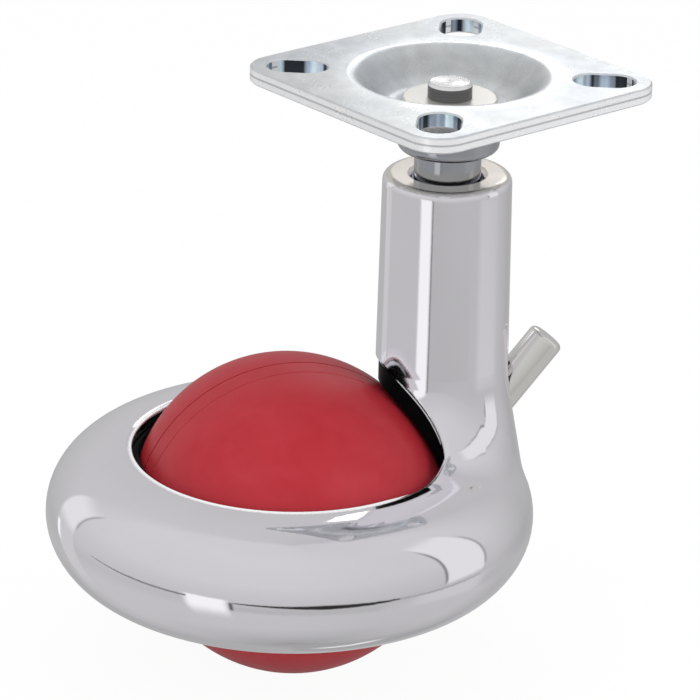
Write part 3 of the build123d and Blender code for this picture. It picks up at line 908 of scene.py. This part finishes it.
def makeWorld(room, panels):
    world = bpy.data.worlds.new("studioWorld")
    bpy.context.scene.world = world
    world.use_nodes = True
    tree = world.node_tree
    tree.nodes.clear()
    place = addNode(tree, "ShaderNodeTexCoord")
    heading = -math.radians(room["heading"])
    turn = addNode(tree, "ShaderNodeVectorRotate", rotation_type="Z_AXIS", Angle=heading)
    tree.links.new(place.outputs["Generated"], turn.inputs["Vector"])
    parts = splitVector(tree, turn.outputs[0])
    degrees = 180 / math.pi
    around = mathNode(tree, "ARCTAN2", parts[0], mathNode(tree, "MULTIPLY", parts[1], -1.0))
    around = mathNode(tree, "MULTIPLY", around, degrees)
    height = mathNode(tree, "MULTIPLY", mathNode(tree, "ARCSINE", parts[2]), degrees)
    sides = brightnessRamp(tree, around, room["aroundStops"])
    levels = brightnessRamp(tree, height, room["heightStops"])
    level = mathNode(tree, "MULTIPLY", sides, levels)
    leaned = mathNode(tree, "ADD", height, mathNode(tree, "MULTIPLY", around, room["lean"]))
    for panel in panels.values():
        level = paintPanel(tree, level, around, leaned, panel)
    level = mathNode(tree, "MULTIPLY", level, room["gain"])
    path = addNode(tree, "ShaderNodeLightPath")
    seen = mathNode(tree, "MAXIMUM", path.outputs["Is Glossy Ray"], path.outputs["Is Transmission Ray"])
    studioLevel = mixValue(tree, seen, room["ambient"], level)
    background = addNode(tree, "ShaderNodeBackground")
    plain = mixValue(tree, path.outputs["Is Camera Ray"], studioLevel, 1.0)
    tree.links.new(plain, background.inputs["Strength"])
    output = addNode(tree, "ShaderNodeOutputWorld")
    tree.links.new(background.outputs[0], output.inputs["Surface"])


makeWorld(mirrorRoom, mirrorPanels)
print("floor and world ready")


# Cards that only shiny surfaces see
def makeCard(name, corners, faces, level):
    material = bpy.data.materials.new(name)
    material.use_nodes = True
    tree = material.node_tree
    tree.nodes.clear()
    glow = addNode(tree, "ShaderNodeEmission", Strength=level)
    output = addNode(tree, "ShaderNodeOutputMaterial")
    tree.links.new(glow.outputs[0], output.inputs["Surface"])
    card = makeObject(name, corners, faces, material)
    card.visible_camera = False
    card.visible_diffuse = False
    card.visible_shadow = False
    card.visible_transmission = False


# Ribbons stand on a circle about the ball and make the dark lines round the ring
# Each stop is an angle from the camera (right is plus), a height and a half width
ribbonReach = 0.06
ribbons = {
    "leftEdge": {
        "level": 0.22,
        "stops": [(-71, -0.0740, 0.0002), (-52, -0.0743, 0.0006), (-31, -0.0746, 0.0007)],
    },
    "frontEdge": {
        "level": 0.03,
        "stops": [
            (-16, -0.0749, 0.0003),
            (0, -0.07545, 0.0009),
            (12, -0.0760, 0.0017),
            (24, -0.0765, 0.0013),
            (36, -0.0769, 0.0005),
        ],
    },
    "rightEdge": {
        "level": 0.35,
        "stops": [(36, -0.0769, 0.0005), (51, -0.0783, 0.0005), (70, -0.0799, 0.0003)],
    },
}


def makeRibbon(name, ribbon, heading, perStop=8):
    corners = []
    stops = ribbon["stops"]
    for (angle, height, half), (nextAngle, nextHeight, nextHalf) in zip(stops, stops[1:]):
        for step in range(perStop + 1):
            share = step / perStop
            turn = math.radians(heading + angle + (nextAngle - angle) * share)
            middle = height + (nextHeight - height) * share
            reach = half + (nextHalf - half) * share
            x = wheelCentre.x + ribbonReach * math.sin(turn)
            y = wheelCentre.y - ribbonReach * math.cos(turn)
            corners += [(x, y, middle - reach), (x, y, middle + reach)]
    faces = [(2 * step, 2 * step + 2, 2 * step + 3, 2 * step + 1) for step in range(len(corners) // 2 - 1)]
    makeCard(name, corners, faces, ribbon["level"])


# A bright card behind the castor and above it, measured in metres from the swivel's axis
backCard = {"distance": 0.26, "aside": 0.045, "height": 0.135, "wide": 0.11, "tall": 0.10, "level": 2.0}


def makeBackCard(card, heading):
    turn = Matrix.Rotation(math.radians(heading), 4, "Z")
    corners = []
    for side, rise in ((-1, -1), (1, -1), (1, 1), (-1, 1)):
        aside = card["aside"] + side * card["wide"] / 2
        corners.append(turn @ Vector((aside, card["distance"], card["height"] + rise * card["tall"] / 2)))
    makeCard("backCard", corners, [(0, 1, 2, 3)], card["level"])


for ribbonName, ribbon in ribbons.items():
    makeRibbon(ribbonName, ribbon, cameraSettings["heading"])
makeBackCard(backCard, cameraSettings["heading"])
# shiny metal mirrors nothing of the wheel
for nodeName in ("near_dome", "far_dome", "tread_band", "wheel_core", "hub_bushes", "thrust_washers", "axle"):
    cadNodes[nodeName].visible_glossy = False
print("cards placed")


# Lamps, with their places in metres and each one's share of the power
lampPower = 1.4
castorMiddle = (-0.01, 0.0, -0.05)
lamps = {
    "keyLamp": {"spot": (-0.35, -0.35, 0.45), "aim": castorMiddle, "size": (0.3, 0.3), "share": 1.0},
    "fillLamp": {"spot": (0.45, -0.25, 0.25), "aim": castorMiddle, "size": (0.3, 0.4), "share": 0.9},
    "lowLamp": {"spot": (0.0, -0.45, -0.05), "aim": (-0.02, 0.0, -0.07), "size": (0.5, 0.08), "share": 0.15},
    "topLamp": {"spot": (0.0, 0.15, 0.6), "aim": castorMiddle, "size": (0.5, 0.3), "share": 0.8},
}


def makeLamp(name, settings, power):
    lampData = bpy.data.lights.new(name, "AREA")
    lampData.shape = "RECTANGLE"
    lampData.size, lampData.size_y = settings["size"]
    lampData.energy = power * settings["share"]
    lamp = bpy.data.objects.new(name, lampData)
    bpy.context.scene.collection.objects.link(lamp)
    lamp.location = settings["spot"]
    lamp.rotation_mode = "QUATERNION"
    look = Vector(settings["aim"]) - Vector(settings["spot"])
    lamp.rotation_quaternion = look.to_track_quat("-Z", "Y")
    lamp.visible_glossy = False


for lampName, settings in lamps.items():
    makeLamp(lampName, settings, lampPower)
bpy.context.scene.view_settings.view_transform = "Standard"
print("studio ready")
